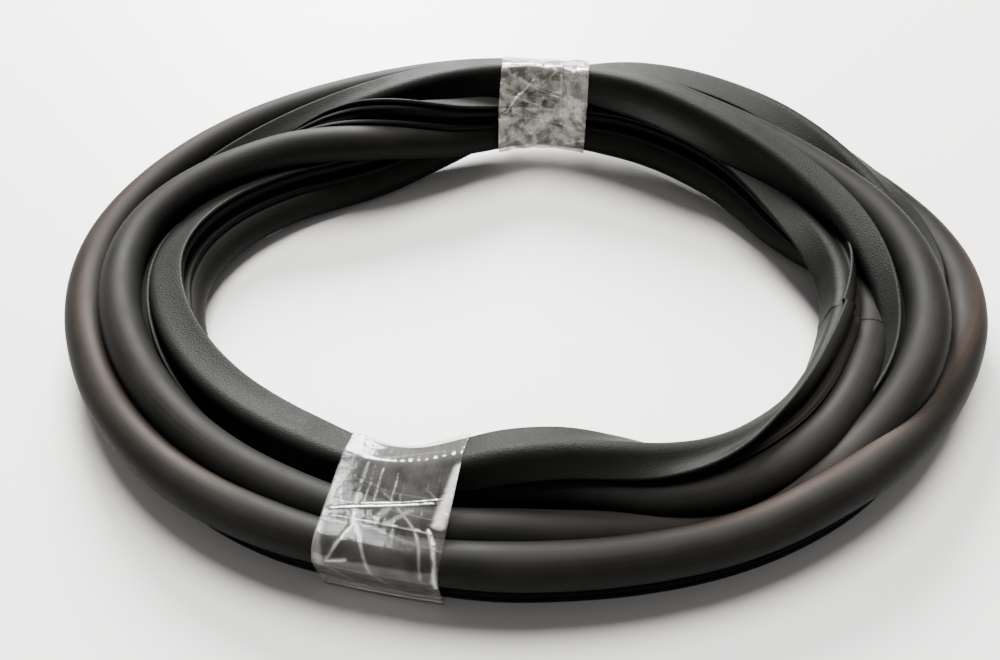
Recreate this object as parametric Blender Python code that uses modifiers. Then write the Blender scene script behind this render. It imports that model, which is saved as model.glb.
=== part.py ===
"""A car door seal: one endless rubber extrusion, coiled in three turns and tied with two tape bands.

The section has a round bulb, a U-shaped carrier that grips the door flange, and a cover lip that
wraps the carrier. The loop lies on a level floor, with +Z up and the origin under its middle.
"""
import math

import bpy
import numpy as np
from mathutils import Vector, geometry

MM = 0.001

# Section of the seal, with the bulb's centre at its origin and the carrier on the -X side. The cover
# lip is rooted at the carrier's far corner: one arm lies over the roof and one over the far wall.
BULB_DIAMETER = 18.5 * MM
CARRIER_WIDTH = 10.5 * MM
CARRIER_HEIGHT = 13.5 * MM
CARRIER_WALL = 2.5 * MM
CARRIER_SINK = 1.3 * MM
SLOT_DEPTH = 10.5 * MM
FIN_LENGTH = 1.7 * MM
FIN_THICKNESS = 0.9 * MM
FIN_RISE = 1.3 * MM
FIN_PLACE = 0.4
LIP_GAP = 1.3 * MM
LIP_THICKNESS = 1.7 * MM
LIP_CORNER = 5.0 * MM
LIP_ROOT = 3.0 * MM
LIP_OVERHANG = 1.0 * MM
LIP_REACH = 1.2 * MM
BULB_SEGMENTS = 12
CORNER_SEGMENTS = 3

# The coil: half sizes of the oval that the middle of the bundle follows, and the stations of a turn.
COIL_HALF_WIDTH = 187.0 * MM
COIL_HALF_DEPTH = 139.0 * MM
STATIONS_PER_TURN = 48
STRAND_CLEARANCE = 0.5 * MM

# Clear tape around the bundle at the back and at the front.
TAPE_WIDTH = 48.0 * MM
TAPE_THICKNESS = 0.5 * MM
TAPE_CLEARANCE = 0.4 * MM
TAPE_FACET = 1.2 * MM
BACK_TAPE_ANGLE = 84.0
FRONT_TAPE_ANGLE = 251.0
BACK_SQUEEZE = 0.88
FRONT_SQUEEZE = 0.94
SQUEEZE_REACH = 24.0

# Angles around the coil, in degrees from the right-hand side by way of the back, and where the bulb
# of each turn lies there: outward from the oval, height and roll, in millimetres and degrees.
LAYOUT_ANGLES = (0, 20, 40, 60, 84, 105, 125, 145, 170, 195, 222, 249, 275, 300, 320, 340)
TURN_LAYOUTS = (
    # Cover lip uppermost on the right, then the outer turn from the back tape on round the front.
    ((-1, 37, -5), (-9, 40, -10), (-6, 42, -15), (0, 42, -20), (7, 42, -22), (11, 38, -18),
     (12, 36, -10), (12, 33, -5), (14, 26, 5), (11, 22, 25), (18, 22, 72), (19, 24, 86),
     (18, 24, 88), (20, 24, 88), (21, 22, 80), (20, 18, 55)),
    # Outer turn on the right, then the inner turn of the left and of the front.
    ((27, 20, 10), (24, 22, -35), (22, 27, -70), (22, 29, -82), (12, 25, -88), (-14, 16, -92),
     (-31, 12, -94), (-28, 11, -95), (-23, 11, -90), (-24, 14, -65), (-16, 24, -35),
     (-8, 35, -5), (-3, 37, 25), (0, 34, 30), (-7, 28, 15), (-8, 16, -12)),
    # Inner turn with the butt joint, then the second turn of the left and of the front.
    ((-15, 15, -30), (-30, 12, -74), (-24, 15, -88), (-10, 17, -90), (-8, 19, -88), (-24, 28, -100),
     (-31, 40, -150), (-17, 41, -230), (-7, 37, -302), (-6, 34, -292), (2, 32, -292), (0, 25, -305),
     (0, 18, -315), (5, 19, -322), (10, 25, -335), (6, 35, -352)),
)
LOOP_TWIST = -360.0
RELAX_STEPS = 400
RELAX_SMOOTHING = 0.12
RELAX_PUSH = 0.35
SMOOTHED_SHARE = 0.8

RUBBER_COLOUR = (0.030, 0.030, 0.029, 1.0)
RUBBER_ROUGHNESS = 0.55
TAPE_COLOUR = (0.62, 0.61, 0.58, 1.0)
TAPE_ROUGHNESS = 0.2


def clear_scene():
    """Remove the objects and collections that a new file starts with."""
    for item in list(bpy.data.objects):
        bpy.data.objects.remove(item)
    for item in list(bpy.data.collections):
        bpy.data.collections.remove(item)


def make_material(name, colour, roughness):
    """Return a plain material of one colour."""
    material = bpy.data.materials.new(name)
    material.use_nodes = True
    shader = material.node_tree.nodes["Principled BSDF"]
    shader.inputs["Base Color"].default_value = colour
    shader.inputs["Roughness"].default_value = roughness
    shader.inputs["Metallic"].default_value = 0.0
    return material


def arc(centre, radius, start, end, segments):
    """Return the points of an arc from start to end, in degrees."""
    angles = np.radians(np.linspace(start, end, segments + 1))
    return [(centre[0] + radius * math.cos(a), centre[1] + radius * math.sin(a)) for a in angles]


def fin(wall_x, side, base_y):
    """Return the three free corners of a gripping fin on a slot wall; side is +1 or -1."""
    return [
        (wall_x, base_y),
        (wall_x + side * FIN_LENGTH, base_y + FIN_RISE),
        (wall_x, base_y + FIN_THICKNESS),
    ]


def section_outline():
    """Return the seal's section as one closed outline, anticlockwise, in metres."""
    bulb_radius = BULB_DIAMETER / 2
    near_x = -(bulb_radius - CARRIER_SINK)
    far_x = near_x - CARRIER_WIDTH
    roof_y = CARRIER_HEIGHT / 2
    foot_y = -CARRIER_HEIGHT / 2
    slot_near = near_x - CARRIER_WALL
    slot_far = far_x + CARRIER_WALL
    slot_top = foot_y + SLOT_DEPTH
    under_y = roof_y + LIP_GAP
    lip_top = under_y + LIP_THICKNESS
    lip_inner_x = far_x - LIP_GAP
    lip_outer_x = lip_inner_x - LIP_THICKNESS
    tip_x = near_x + LIP_REACH
    join = math.degrees(math.acos(-near_x / bulb_radius))
    corner = (lip_outer_x + LIP_CORNER, lip_top - LIP_CORNER)
    fin_y = foot_y + SLOT_DEPTH * FIN_PLACE
    skirt_y = foot_y - LIP_OVERHANG

    outline = arc((0.0, 0.0), bulb_radius, 180 + join, 540 - join, BULB_SEGMENTS)
    outline += [(near_x, roof_y), (far_x + LIP_ROOT, roof_y), (far_x + LIP_ROOT, under_y)]
    outline += [(tip_x, under_y), (tip_x - LIP_THICKNESS / 2, lip_top)]
    outline += arc(corner, LIP_CORNER, 90, 180, CORNER_SEGMENTS)
    outline += [(lip_outer_x, skirt_y + LIP_THICKNESS / 2), (lip_inner_x, skirt_y)]
    outline += [(lip_inner_x, roof_y - LIP_ROOT), (far_x, roof_y - LIP_ROOT)]
    outline += [(far_x, foot_y), (slot_far, foot_y)]
    outline += fin(slot_far, 1, fin_y)
    outline += [(slot_far, slot_top), (slot_near, slot_top)]
    outline += list(reversed(fin(slot_near, -1, fin_y)))
    outline += [(slot_near, foot_y), (near_x, foot_y)]
    return outline


def oval_point(angle):
    """Return the point of the coil's oval at a polar angle in radians."""
    c, s = math.cos(angle), math.sin(angle)
    radius = 1 / math.hypot(c / COIL_HALF_WIDTH, s / COIL_HALF_DEPTH)
    return np.array((radius * c, radius * s))


def oval_frame(angle):
    """Return the oval's point, its outward normal and its direction of travel at an angle."""
    point = oval_point(angle)
    normal = point / np.array((COIL_HALF_WIDTH**2, COIL_HALF_DEPTH**2))
    normal /= np.linalg.norm(normal)
    return point, normal, np.array((-normal[1], normal[0]))


def layout_values(positions):
    """Return outward offset, height and roll at each position along the turns."""
    knots, rows = [], []
    for turn, layout in enumerate(TURN_LAYOUTS):
        for angle, row in zip(LAYOUT_ANGLES, layout):
            knots.append(turn + angle / 360)
            rows.append((row[0] * MM, row[1] * MM, math.radians(row[2])))
    turns = len(TURN_LAYOUTS)
    knots = np.array(knots)
    rows = np.array(rows)
    twist = np.array((0.0, 0.0, math.radians(LOOP_TWIST)))
    knots = np.concatenate((knots[-2:] - turns, knots, knots[:3] + turns))
    rows = np.concatenate((rows[-2:] - twist, rows, rows[:3] + twist))
    slopes = (rows[2:] - rows[:-2]) / (knots[2:] - knots[:-2])[:, None]
    slopes = np.concatenate((slopes[:1], slopes, slopes[-1:]))
    index = np.searchsorted(knots, positions, side="right") - 1
    span = (knots[index + 1] - knots[index])[:, None]
    t = ((positions - knots[index]) / span[:, 0])[:, None]
    return ((2 * t**3 - 3 * t**2 + 1) * rows[index] + (t**3 - 2 * t**2 + t) * span * slopes[index]
            + (3 * t**2 - 2 * t**3) * rows[index + 1] + (t**3 - t**2) * span * slopes[index + 1])


def squeeze_at(degrees):
    """Return the factor by which a tape band squeezes the section at an angle round the coil."""
    factor = 1.0
    for centre, squeeze in ((BACK_TAPE_ANGLE, BACK_SQUEEZE), (FRONT_TAPE_ANGLE, FRONT_SQUEEZE)):
        away = abs((degrees - centre + 180) % 360 - 180) / SQUEEZE_REACH
        if away < 1:
            factor -= (1 - squeeze) * math.cos(math.pi / 2 * away) ** 2
    return factor


def smoothing(values):
    """Return how far each value lies from the middle of its neighbours along the loop."""
    return (np.roll(values, 1, axis=0) + np.roll(values, -1, axis=0)) / 2 - values


def section_discs(rolls, scales):
    """Return centres and radii of each section's two discs: the bulb, and the carrier with its lip."""
    bulb_radius = BULB_DIAMETER / 2
    carrier_x = -(bulb_radius - CARRIER_SINK + (CARRIER_WIDTH + LIP_GAP + LIP_THICKNESS) / 2)
    carrier_y = (LIP_GAP + LIP_THICKNESS - LIP_OVERHANG) / 2
    c, s = np.cos(rolls), np.sin(rolls)
    carrier = np.stack((carrier_x * c - carrier_y * s, carrier_x * s + carrier_y * c), axis=1)
    centres = np.stack((np.zeros_like(carrier), carrier), axis=1) * scales[:, None, None]
    carrier_radius = (CARRIER_HEIGHT + LIP_GAP + LIP_THICKNESS + LIP_OVERHANG) / 2
    return centres, np.array((bulb_radius, carrier_radius))[None, :] * scales[:, None]


def lowest_heights(rolls, scales):
    """Return the least height of each section's centre, with its outline and any tape above the floor."""
    outline = np.array(section_outline())
    rises = outline[None, :, 0] * np.sin(rolls)[:, None] + outline[None, :, 1] * np.cos(rolls)[:, None]
    return (TAPE_THICKNESS + TAPE_CLEARANCE) * (scales < 1) - rises.min(axis=1) * scales


def relax_strands(values, scales):
    """Push turns that would overlap apart, and lift what would sink below the floor."""
    turns = len(TURN_LAYOUTS)
    place = values[:, :2].copy()
    laid = smoothing(place)
    centres, radii = section_discs(values[:, 2], scales)
    lowest = lowest_heights(values[:, 2], scales)
    reach = radii.reshape(turns, STATIONS_PER_TURN, 2)
    pairs = [(first, second, mine, other) for first in range(turns) for second in range(first + 1, turns)
             for mine in range(2) for other in range(2)]
    for step in range(RELAX_STEPS):
        if step < RELAX_STEPS * SMOOTHED_SHARE:
            place += RELAX_SMOOTHING * (smoothing(place) - laid)
        discs = (place[:, None, :] + centres).reshape(turns, STATIONS_PER_TURN, 2, 2)
        move = np.zeros((turns, STATIONS_PER_TURN, 2))
        for first, second, mine, other in pairs:
            gap = discs[second, :, other] - discs[first, :, mine]
            distance = np.maximum(np.linalg.norm(gap, axis=1), STRAND_CLEARANCE)
            need = reach[first, :, mine] + reach[second, :, other] + STRAND_CLEARANCE - distance
            push = (np.maximum(need, 0) / distance * RELAX_PUSH)[:, None] * gap
            move[first] -= push
            move[second] += push
        place += move.reshape(-1, 2)
        place[:, 1] = np.maximum(place[:, 1], lowest)
    return place


def seal_route():
    """Return centre points, rolls and squeeze factors along the whole loop."""
    count = STATIONS_PER_TURN * len(TURN_LAYOUTS)
    positions = np.arange(count) / STATIONS_PER_TURN
    values = layout_values(positions)
    scales = np.array([squeeze_at(360 * (p % 1)) for p in positions])
    place = relax_strands(values, scales)
    points = []
    for position, (out, height) in zip(positions, place):
        origin, normal, _ = oval_frame(2 * math.pi * position)
        flat = origin + normal * out
        points.append((flat[0], flat[1], height))
    return np.array(points), values[:, 2], scales


def section_points(points, rolls, scales):
    """Return every section's points in space, one row for each station."""
    outline = np.array(section_outline())
    travel = np.roll(points, -1, axis=0) - np.roll(points, 1, axis=0)
    side = np.stack((travel[:, 1], -travel[:, 0], np.zeros(len(travel))), axis=1)
    side /= np.linalg.norm(side, axis=1)[:, None]
    rise = np.cross(side, travel)
    rise /= np.linalg.norm(rise, axis=1)[:, None]
    c, s = np.cos(rolls)[:, None], np.sin(rolls)[:, None]
    x = (outline[None, :, 0] * c - outline[None, :, 1] * s) * scales[:, None]
    y = (outline[None, :, 0] * s + outline[None, :, 1] * c) * scales[:, None]
    return points[:, None, :] + side[:, None, :] * x[:, :, None] + rise[:, None, :] * y[:, :, None]


def make_polyline(name, points, dimensions, collection, tilts=None, radii=None):
    """Return a closed curve object with straight pieces between its points."""
    curve = bpy.data.curves.new(name, "CURVE")
    curve.dimensions = dimensions
    curve.render_resolution_u = 0
    spline = curve.splines.new("POLY")
    spline.points.add(len(points) - 1)
    for index, (target, point) in enumerate(zip(spline.points, points)):
        target.co = (point[0], point[1], point[2] if len(point) > 2 else 0.0, 1.0)
        target.tilt = tilts[index] if tilts is not None else 0.0
        target.radius = radii[index] if radii is not None else 1.0
    spline.use_cyclic_u = True
    item = bpy.data.objects.new(name, curve)
    collection.objects.link(item)
    return item


def make_seal(points, rolls, scales, parts, guides):
    """Sweep the section along the coiled loop."""
    outline = make_polyline("seal_section", list(reversed(section_outline())), "2D", guides)
    outline.hide_render = True
    outline.display_type = "WIRE"
    seal = make_polyline("seal", points, "3D", parts, [-roll for roll in rolls], scales)
    seal.data.twist_mode = "Z_UP"
    seal.data.bevel_mode = "OBJECT"
    seal.data.bevel_object = outline
    seal.data.materials.append(make_material("epdm_rubber", RUBBER_COLOUR, RUBBER_ROUGHNESS))
    return seal


def tape_outline(sections, centre, normal, travel, skirt):
    """Return the outline that tape pulled round the bundle takes, in outward offset and height."""
    reach = TAPE_WIDTH / 2 + 2 * math.pi * COIL_HALF_WIDTH / STATIONS_PER_TURN
    away = sections[:, :, :2].reshape(-1, 2) - centre
    heights = sections[:, :, 2].reshape(-1)
    near = (np.abs(away @ travel) < reach) & (away @ normal > -COIL_HALF_DEPTH)
    outs = (away @ normal)[near]
    tops = heights[near]
    ring = arc((0.0, 0.0), TAPE_CLEARANCE, 0, 360, BULB_SEGMENTS)
    cloud = [Vector((out + dx, top + dy)) for out, top in zip(outs, tops) for dx, dy in ring]
    if skirt:
        left, right = min(v.x for v in cloud), max(v.x for v in cloud)
        cloud += [Vector((left + BULB_DIAMETER / 2, TAPE_THICKNESS)), Vector((right, TAPE_THICKNESS))]
    hull = [cloud[i] for i in geometry.convex_hull_2d(cloud)]
    kept = []
    for point in hull:
        if not kept or (point - kept[-1]).length > TAPE_FACET:
            kept.append(point)
    return [(p.x, p.y) for p in kept]


def make_tape(name, degrees, sections, skirt, parts):
    """Wrap a closed band of tape round the bundle at an angle round the coil."""
    centre, normal, travel = oval_frame(math.radians(degrees))
    outline = tape_outline(sections, centre, normal, travel, skirt)
    tape = make_polyline(name, outline, "2D", parts)
    tape.data.fill_mode = "NONE"
    tape.data.extrude = TAPE_WIDTH / 2
    tape.matrix_world = (
        (normal[0], normal[1], 0.0, 0.0),
        (0.0, 0.0, 1.0, 0.0),
        (normal[1], -normal[0], 0.0, 0.0),
        (centre[0], centre[1], 0.0, 1.0),
    )
    wall = tape.modifiers.new("film", "SOLIDIFY")
    wall.thickness = TAPE_THICKNESS
    wall.offset = 1.0
    wall.use_even_offset = True
    tape.data.materials.append(make_material(name + "_film", TAPE_COLOUR, TAPE_ROUGHNESS))
    return tape


def stand_over_origin(parts):
    """Move the parts so that the middle of the underside of their box is the origin."""
    graph = bpy.context.evaluated_depsgraph_get()
    corners = []
    for item in parts.objects:
        shown = item.evaluated_get(graph)
        mesh = shown.to_mesh()
        corners += [item.matrix_world @ vertex.co for vertex in mesh.vertices]
        shown.to_mesh_clear()
    low = [min(corner[axis] for corner in corners) for axis in range(3)]
    high = [max(corner[axis] for corner in corners) for axis in range(3)]
    shift = Vector(((low[0] + high[0]) / 2, (low[1] + high[1]) / 2, low[2]))
    for item in parts.objects:
        item.location -= shift


def main():
    """Build the seal and the two tape bands that hold its coil."""
    clear_scene()
    parts = bpy.data.collections.new("car_door_seal")
    guides = bpy.data.collections.new("guides")
    for collection in (parts, guides):
        bpy.context.scene.collection.children.link(collection)
    points, rolls, scales = seal_route()
    sections = section_points(points, rolls, scales)
    make_seal(points, rolls, scales, parts, guides)
    make_tape("tape_band_back", BACK_TAPE_ANGLE, sections, False, parts)
    make_tape("tape_band_front", FRONT_TAPE_ANGLE, sections, True, parts)
    stand_over_origin(parts)


main()
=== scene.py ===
"""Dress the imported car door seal: an endless rubber extrusion, coiled and tied with clear tape.

The seal is swept again along its coil with the fine section that the real one has, and the two tape
bands are laid over it as crinkled film. Everything is in metres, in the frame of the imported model.
"""
import logging
import math
from dataclasses import dataclass
from enum import Enum

import bmesh
import bpy
import numpy as np
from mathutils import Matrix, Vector, geometry, noise


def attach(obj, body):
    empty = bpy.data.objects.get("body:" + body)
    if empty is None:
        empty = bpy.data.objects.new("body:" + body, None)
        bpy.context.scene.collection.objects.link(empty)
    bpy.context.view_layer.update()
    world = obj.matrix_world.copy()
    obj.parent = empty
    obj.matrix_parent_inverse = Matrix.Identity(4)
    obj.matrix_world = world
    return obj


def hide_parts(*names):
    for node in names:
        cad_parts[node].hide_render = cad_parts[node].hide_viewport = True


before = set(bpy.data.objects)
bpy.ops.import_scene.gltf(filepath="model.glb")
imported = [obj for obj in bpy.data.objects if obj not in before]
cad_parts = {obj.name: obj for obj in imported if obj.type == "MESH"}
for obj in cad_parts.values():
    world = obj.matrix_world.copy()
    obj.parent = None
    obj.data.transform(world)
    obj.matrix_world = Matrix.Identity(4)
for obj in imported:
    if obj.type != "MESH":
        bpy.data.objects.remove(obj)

LOG = logging.getLogger("door_seal")
MM = 0.001
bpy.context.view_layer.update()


# Layout of the coil

@dataclass(frozen=True)
class Profile:
    """Sizes of the seal's section, in metres, with the bulb's centre at its origin."""

    bulb: float = 18.5 * MM
    carrier_width: float = 10.5 * MM
    carrier_height: float = 13.5 * MM
    wall: float = 2.5 * MM
    sink: float = 1.3 * MM
    slot_depth: float = 10.5 * MM
    fin: float = 2.2 * MM
    fin_thickness: float = 0.8 * MM
    lip_gap: float = 1.3 * MM
    lip: float = 1.7 * MM
    lip_corner: float = 5.0 * MM
    lip_root: float = 3.0 * MM
    overhang: float = 1.0 * MM
    reach: float = 1.2 * MM
    roof_bend: float = 5.0 * MM
    side_bend: float = 9.0 * MM
    # The notch between bulb and roof, in from the bulb and down from the roof.
    notch: tuple[float, float] = (0.2 * MM, 0.15 * MM)
    # Ribs along the roof: how many, the first one's place, their pitch, height, foot and slope.
    ribs: int = 3
    rib_start: float = 0.9 * MM
    rib_pitch: float = 2.0 * MM
    rib: float = 0.55 * MM
    rib_foot: float = 1.1 * MM
    rib_slope: float = 0.3 * MM
    root_rise: float = 0.1 * MM
    tip_inset: float = 0.3 * MM
    # Ridges along the far wall: how many, their pitch, height and foot.
    ridges: int = 2
    ridge_pitch: float = 2.6 * MM
    ridge: float = 0.4 * MM
    ridge_foot: float = 1.0 * MM
    # Fins in the channel: their places as shares of its depth, and how their tips rise and taper.
    far_fins: tuple[float, ...] = (0.18, 0.58)
    near_fin: float = 0.4
    near_fin_share: float = 0.9
    fin_rise: float = 1.2 * MM
    fin_tip: float = 1.6 * MM
    fin_taper: float = 0.3 * MM
    # How far the carrier's lower edges are broken: outside, in the channel and beside the bulb.
    outer_edge: float = 0.5 * MM
    slot_edge: float = 0.3 * MM
    bulb_edge: float = 0.4 * MM
    bulb_segments: int = 34
    arm_segments: int = 6
    corner_segments: int = 8
    tip_segments: int = 4

    @property
    def near(self) -> float:
        """Return where the carrier's wall beside the bulb lies."""
        return -(self.bulb / 2 - self.sink)

    @property
    def far(self) -> float:
        """Return where the carrier's far wall lies."""
        return self.near - self.carrier_width

    @property
    def roof(self) -> float:
        """Return the height of the carrier's roof."""
        return self.carrier_height / 2

    @property
    def foot(self) -> float:
        """Return the height of the carrier's lower edges."""
        return -self.carrier_height / 2


class Zone(Enum):
    """Which finish a stretch of the section takes; the value is its material slot."""

    BULB = 0
    CARRIER = 1
    LIP = 2


@dataclass(frozen=True)
class SectionPoint:
    """One point of the section, with how far out along the roof arm or the side arm it lies."""

    x: float
    y: float
    zone: Zone
    roof: float = 0.0
    side: float = 0.0


class Section:
    """The seal's section as a ring of points that opens its lip where asked."""

    def __init__(self, profile: Profile) -> None:
        """Work out the ring at rest.

        Args:
            profile: The sizes of the section.
        """
        self.profile = profile
        self.points = self._outline()
        self.girth = self._girth()

    def _arc(self, centre: tuple[float, float], radius: float, start: float, end: float,
             segments: int) -> list[tuple[float, float]]:
        """Return the points of an arc.

        Args:
            centre: The middle of the arc.
            radius: Its radius.
            start: The first angle, in degrees.
            end: The last angle, in degrees.
            segments: How many straight pieces it has.

        Returns:
            The points from start to end.
        """
        angles = np.radians(np.linspace(start, end, segments + 1))
        return [(centre[0] + radius * math.cos(a), centre[1] + radius * math.sin(a)) for a in angles]

    def _still(self, *places: tuple[float, float]) -> list[SectionPoint]:
        """Return points of the carrier that move with no arm."""
        return [SectionPoint(x, y, Zone.CARRIER) for x, y in places]

    def _outline(self) -> list[SectionPoint]:
        """Return the ring at rest, anticlockwise from the bulb's underside."""
        p = self.profile
        radius = p.bulb / 2
        join = math.degrees(math.acos(-p.near / radius))
        ring = [SectionPoint(x, y, Zone.BULB)
                for x, y in self._arc((0.0, 0.0), radius, 180 + join, 540 - join, p.bulb_segments)]
        return ring + self._roof() + self._roof_arm() + self._side_arm() + self._far_wall() + self._channel()

    def _roof(self) -> list[SectionPoint]:
        """Return the carrier's roof with its ribs, up to the lip's root."""
        p = self.profile
        ring = self._still((p.near - p.notch[0], p.roof - p.notch[1]))
        for k in range(p.ribs):
            x = p.near - p.rib_start - p.rib_pitch * k
            ring += self._still((x, p.roof), (x - p.rib_slope, p.roof + p.rib),
                                (x - p.rib_foot + p.rib_slope, p.roof + p.rib), (x - p.rib_foot, p.roof))
        return ring + self._still((p.far + p.lip_root, p.roof + p.root_rise))

    def _roof_arm(self) -> list[SectionPoint]:
        """Return the arm of the lip over the roof: its underside, its tip and its top."""
        p, n = self.profile, self.profile.arm_segments
        under = p.roof + p.lip_gap
        tip, root = p.near + p.reach, p.far + p.lip_root
        end = tip - p.lip / 2
        start = p.far - p.lip_gap - p.lip + p.lip_corner
        ring = []
        for k in range(n):
            t = k / (n - 1)
            ring.append(SectionPoint(root + (end - root) * t, under, Zone.CARRIER, roof=t))
        for x, y in self._arc((end, under + p.lip / 2), p.lip / 2, -60, 80, p.tip_segments):
            ring.append(SectionPoint(x, y, Zone.LIP, roof=1.0))
        for k in range(n):
            t = 1 - k / n
            x = start + (end - start) * t - p.tip_inset * t
            ring.append(SectionPoint(x, under + p.lip, Zone.LIP, roof=max(0.0, (x - root) / (tip - root))))
        return ring

    def _side_arm(self) -> list[SectionPoint]:
        """Return the lip's corner and its arm down the far wall, outside and then inside."""
        p, n = self.profile, self.profile.arm_segments
        inner, outer = p.far - p.lip_gap, p.far - p.lip_gap - p.lip
        fall = p.roof + p.lip_gap + p.lip - p.lip_corner
        end, rise = p.foot - p.overhang + p.lip / 2, p.roof - p.lip_root
        ring = [SectionPoint(x, y, Zone.LIP) for x, y in
                self._arc((outer + p.lip_corner, fall), p.lip_corner, 90, 180, p.corner_segments)]
        for k in range(1, n + 1):
            t = k / n
            ring.append(SectionPoint(outer, fall + (end - fall) * t, Zone.LIP, side=t))
        for x, y in self._arc((outer + p.lip / 2, end), p.lip / 2, 200, 340, p.tip_segments):
            ring.append(SectionPoint(x, y, Zone.LIP, side=1.0))
        for k in range(n):
            t = 1 - k / (n - 1)
            ring.append(SectionPoint(inner, rise + (end - rise) * t, Zone.CARRIER, side=t))
        return ring

    def _far_wall(self) -> list[SectionPoint]:
        """Return the far wall with its ridges, down to its edge at the channel."""
        p = self.profile
        rise = p.roof - p.lip_root
        ring = self._still((p.far, rise))
        for k in range(1, p.ridges + 1):
            y = rise - p.ridge_pitch * k
            ring += self._still((p.far, y), (p.far - p.ridge, y - p.ridge_foot / 2),
                                (p.far, y - p.ridge_foot))
        slot = p.far + p.wall
        return ring + self._still((p.far, p.foot + p.outer_edge), (p.far + p.outer_edge, p.foot),
                                  (slot - p.slot_edge, p.foot), (slot, p.foot + p.slot_edge))

    def _channel(self) -> list[SectionPoint]:
        """Return the flange channel with its fins, and the edge back to the bulb."""
        p = self.profile
        slot_far, slot_near, slot_top = p.far + p.wall, p.near - p.wall, p.foot + p.slot_depth
        ring = []
        for share in p.far_fins:
            y = p.foot + p.slot_depth * share
            ring += self._still((slot_far, y), (slot_far + p.fin, y + p.fin_rise),
                                (slot_far + p.fin - p.fin_taper, y + p.fin_tip),
                                (slot_far, y + p.fin_thickness))
        ring += self._still((slot_far, slot_top), (slot_near, slot_top))
        y, tip = p.foot + p.slot_depth * p.near_fin, slot_near - p.fin * p.near_fin_share
        ring += self._still((slot_near, y + p.fin_thickness), (tip, y + p.fin_tip), (tip, y + p.fin_rise),
                            (slot_near, y))
        return ring + self._still((slot_near, p.foot + p.slot_edge), (slot_near + p.slot_edge, p.foot),
                                  (p.near - p.bulb_edge, p.foot), (p.near, p.foot + p.bulb_edge))

    def _girth(self) -> list[float]:
        """Return how far round the section each point lies, with the whole girth last."""
        run = [0.0]
        for index, point in enumerate(self.points):
            after = self.points[(index + 1) % len(self.points)]
            run.append(run[-1] + math.hypot(after.x - point.x, after.y - point.y))
        return run

    def _bent(self, run: float, off: float, turn: float, bend: float) -> tuple[float, float]:
        """Return where a point of an arm goes when the arm bends at its root.

        Args:
            run: How far out along the arm the point lies.
            off: How far it lies from the arm's middle line, away from the carrier.
            turn: The angle that the arm turns through, in radians.
            bend: The length over which it turns.

        Returns:
            The distance along the resting arm's line, and the distance away from the carrier.
        """
        if run <= 0 or abs(turn) < 1e-4:
            return run, off
        angle = turn * min(run / bend, 1.0)
        radius = bend / turn
        x, y = radius * math.sin(angle), radius * (1 - math.cos(angle))
        rest = max(run - bend, 0.0)
        x += rest * math.cos(angle) - off * math.sin(angle)
        y += rest * math.sin(angle) + off * math.cos(angle)
        return x, y

    def ring(self, roof_turn: float, side_turn: float, spread: float) -> np.ndarray:
        """Return the ring with its lip opened.

        Args:
            roof_turn: The angle in degrees that the arm over the roof stands up by.
            side_turn: The angle in degrees that the arm over the far wall stands out by.
            spread: The share by which the far wall's arm is stretched.

        Returns:
            One row of x and y for each point.
        """
        p = self.profile
        root, middle = p.far + p.lip_root, p.roof + p.lip_gap + p.lip / 2
        fall, line = p.roof - p.lip_root, p.far - p.lip_gap - p.lip / 2
        rows = []
        for q in self.points:
            x, y = q.x, q.y
            if q.roof > 0:
                run, off = self._bent(x - root, y - middle, math.radians(roof_turn), p.roof_bend)
                x, y = root + run, middle + off
            elif q.side > 0:
                stretched = (fall - y) * (1 + spread * q.side)
                run, off = self._bent(stretched, line - x, math.radians(side_turn), p.side_bend)
                x, y = line - off, fall - run
            rows.append((x, y))
        return np.array(rows)


@dataclass(frozen=True)
class LipOpening:
    """A stretch of the coil where the lip stands open, with its middle and half length in degrees."""

    turn: int
    angle: float
    half: float
    roof: float = 0.0
    side: float = 0.0
    spread: float = 0.0


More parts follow.
